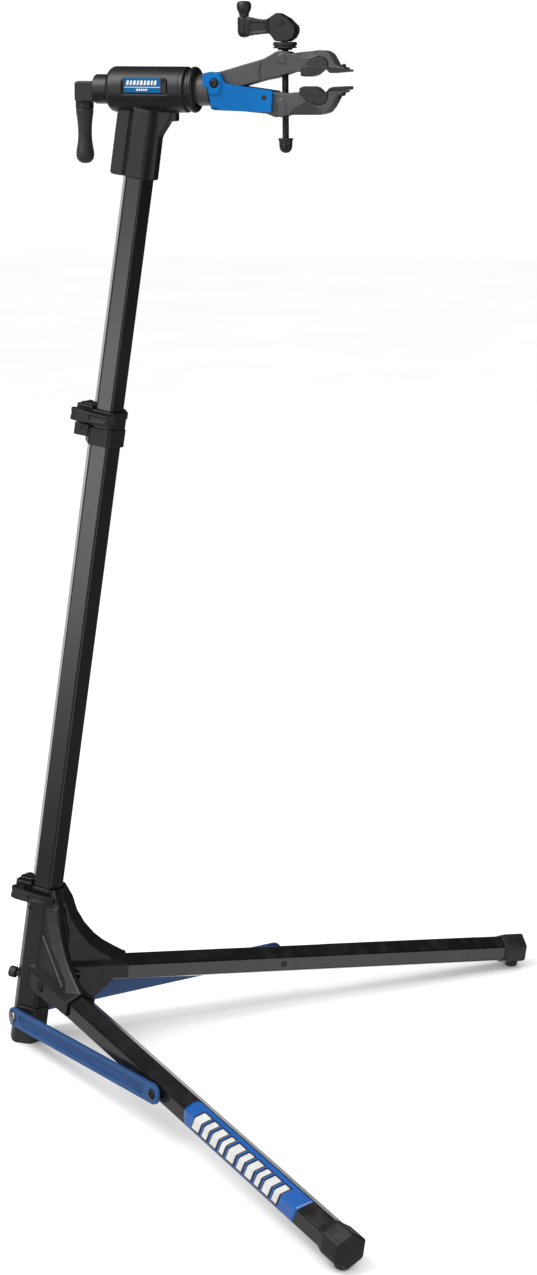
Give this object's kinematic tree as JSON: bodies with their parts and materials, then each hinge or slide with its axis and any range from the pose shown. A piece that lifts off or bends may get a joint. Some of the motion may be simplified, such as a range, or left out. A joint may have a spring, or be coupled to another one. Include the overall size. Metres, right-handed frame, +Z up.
{
  "type": "bike repair stand",
  "caption": "Folding bicycle repair stand: leaning telescopic hexagonal mast on two spread legs with straps, rotating head and quick-cam jaw clamp.",
  "frame": {"origin": "mast axis where it meets the floor", "axes": "+Z up, +X the way the clamp arm and the pair of legs point, the mast leans towards +X, legs spread to +Y (rear) and -Y (front)"},
  "size_m": [0.6309, 0.9876, 1.3755],
  "materials": {
    "tube_black": "satin black powder coat",
    "cast_black": "satin black painted casting",
    "jaw_grey": "dark grey cast alloy, satin",
    "clamp_blue": "blue powder coat, satin",
    "strap_blue": "blue powder coat, satin",
    "black_plastic": "fine textured moulding",
    "black_rubber": "matt rubber",
    "nylon_glide": "dark nylon",
    "black_steel": "black oxide",
    "bright_steel": "zinc plated",
    "plate_dark": "glossy dark label plate"
  },
  "bodies": {
    "base_mast": {"lower_mast_tube": "tube_black", "mast_foot": "black_plastic", "mast_foot_plug": "black_plastic", "strap_foot_bolts": "bright_steel", "height_clamp": "cast_black", "height_clamp_bushing": "nylon_glide", "height_qr_bolt": "black_steel", "height_qr_nut": "black_steel", "height_qr_washer": "black_plastic"},
    "height_lever": {"height_qr_lever": "black_plastic"},
    "upper_mast": {"upper_mast_tube": "tube_black", "upper_mast_glide": "nylon_glide", "head_casting": "cast_black", "name_plates": "plate_dark", "name_plate_pins": "black_steel", "barrel_bushing_rear": "nylon_glide", "barrel_bushing_front": "nylon_glide"},
    "collar": {"leg_collar": "cast_black", "leg_collar_bushings": "nylon_glide", "collar_adjuster": "black_plastic", "collar_qr_bolt": "black_steel", "collar_qr_nut": "black_steel", "collar_qr_washer": "black_plastic", "leg_pivot_bolts": "black_steel", "leg_pivot_nuts": "black_steel"},
    "collar_lever": {"collar_qr_lever": "black_plastic"},
    "rear_leg": {"rear_leg_tube": "tube_black", "rear_hinge_plug": "black_plastic", "rear_leg_cap": "black_plastic", "rear_strap_nut": "black_steel"},
    "front_leg": {"front_leg_tube": "tube_black", "front_hinge_plug": "black_plastic", "front_leg_cap": "black_plastic", "front_strap_nut": "black_steel"},
    "rear_strap_arm": {"rear_strap": "strap_blue", "rear_strap_bolt": "bright_steel"},
    "front_strap_arm": {"front_strap": "strap_blue", "front_strap_bolt": "bright_steel"},
    "clamp_arm": {"clamp_shaft": "black_steel", "shaft_lock_nut": "black_steel", "jaw_bracket": "clamp_blue", "lower_jaw": "jaw_grey", "jaw_bracket_screws": "black_steel", "jaw_pivot_pin": "black_steel", "lower_jaw_pad": "black_rubber", "lower_pad_screws": "black_steel"},
    "lock_handle": {"lock_handle_hub": "cast_black", "lock_handle_grip": "black_rubber", "lock_drawbar": "black_steel"},
    "moving_jaw": {"upper_jaw": "jaw_grey", "upper_jaw_pad": "black_rubber", "upper_pad_screws": "black_steel"},
    "screw_nut": {"clamp_screw_nut": "black_steel"},
    "screw_carriage": {"cam_thrust_washer": "black_plastic"},
    "screw": {"clamp_screw": "black_steel", "clamp_screw_stop": "black_plastic", "cam_pin": "black_steel"},
    "cam": {"cam_lever": "cast_black"},
    "knob": {"crank_knob": "black_plastic"}
  },
  "joints": [
    {"name": "collar_slide", "type": "slide", "parent": "base_mast", "child": "collar", "axis": [0.1459, 0, 0.9893], "range_m": [0, 0.60826]},
    {"name": "rear_leg_fold", "type": "hinge", "parent": "collar", "child": "rear_leg", "pos_m": [0.05308, 0.03176, 0.09522], "axis": [-0.6283, 0.7724, 0.0927], "range_deg": [0, 90]},
    {"name": "front_leg_fold", "type": "hinge", "parent": "collar", "child": "front_leg", "pos_m": [0.05308, -0.03176, 0.09522], "axis": [0.6283, 0.7724, -0.0927], "range_deg": [0, 90]},
    {"name": "rear_strap_fold", "type": "hinge", "parent": "base_mast", "child": "rear_strap_arm", "pos_m": [-0.01093, 0.01962, 0.03648], "axis": [0.6283, -0.7724, -0.0927], "range_deg": [0, 70]},
    {"name": "front_strap_fold", "type": "hinge", "parent": "base_mast", "child": "front_strap_arm", "pos_m": [-0.01093, -0.01962, 0.03648], "axis": [-0.6283, -0.7724, 0.0927], "range_deg": [0, 70]},
    {"name": "collar_lever_flip", "type": "hinge", "parent": "collar", "child": "collar_lever", "pos_m": [-0.00076, -0.0246, 0.22098], "axis": [-0.1459, 0, -0.9893], "range_deg": [0, 110]},
    {"name": "height_slide", "type": "slide", "parent": "base_mast", "child": "upper_mast", "axis": [0.1459, 0, 0.9893], "range_m": [-0.278, 0.175]},
    {"name": "height_lever_flip", "type": "hinge", "parent": "base_mast", "child": "height_lever", "pos_m": [0.09532, -0.0246, 0.87243], "axis": [-0.1459, 0, -0.9893], "range_deg": [0, 110]},
    {"name": "clamp_turn", "type": "hinge", "parent": "upper_mast", "child": "clamp_arm", "pos_m": [0.2, 0, 1.272], "axis": [1, 0, 0], "continuous": true},
    {"name": "lock_handle_turn", "type": "hinge", "parent": "upper_mast", "child": "lock_handle", "pos_m": [0.12, 0, 1.272], "axis": [1, 0, 0], "range_deg": [-120, 120]},
    {"name": "jaw_open", "type": "hinge", "parent": "clamp_arm", "child": "moving_jaw", "pos_m": [0.277, 0, 1.28], "axis": [0, -1, 0], "range_deg": [-5, 15]},
    {"name": "screw_nut_tilt", "type": "hinge", "parent": "clamp_arm", "child": "screw_nut", "pos_m": [0.3608, 0, 1.256], "axis": [0, -1, 0], "range_deg": [-6, 12]},
    {"name": "screw_travel", "type": "slide", "parent": "screw_nut", "child": "screw_carriage", "axis": [-0.0175, 0, 0.9998], "range_m": [-0.01, 0.026]},
    {"name": "crank_spin", "type": "hinge", "parent": "screw_carriage", "child": "screw", "pos_m": [0.3608, 0, 1.256], "axis": [-0.0175, 0, 0.9998], "continuous": true},
    {"name": "cam_flip", "type": "hinge", "parent": "screw", "child": "cam", "pos_m": [0.35919, 0, 1.34829], "axis": [0, 1, 0], "range_deg": [0, 95]},
    {"name": "knob_spin", "type": "hinge", "parent": "cam", "child": "knob", "pos_m": [0.30801, 0, 1.35809], "axis": [-0.0175, 0, 0.9998], "continuous": true}
  ],
  "couplings": [
    {"joint": "rear_leg_fold", "follows": "collar_slide", "rad_per_m": 2.5463},
    {"joint": "front_leg_fold", "follows": "collar_slide", "rad_per_m": 2.5463},
    {"joint": "rear_strap_fold", "follows": "collar_slide", "rad_per_m": 1.9894},
    {"joint": "front_strap_fold", "follows": "collar_slide", "rad_per_m": 1.9894},
    {"joint": "screw_nut_tilt", "follows": "jaw_open", "ratio": 0.57202},
    {"joint": "screw_travel", "follows": "jaw_open", "m_per_rad": 0.081126}
  ]
}
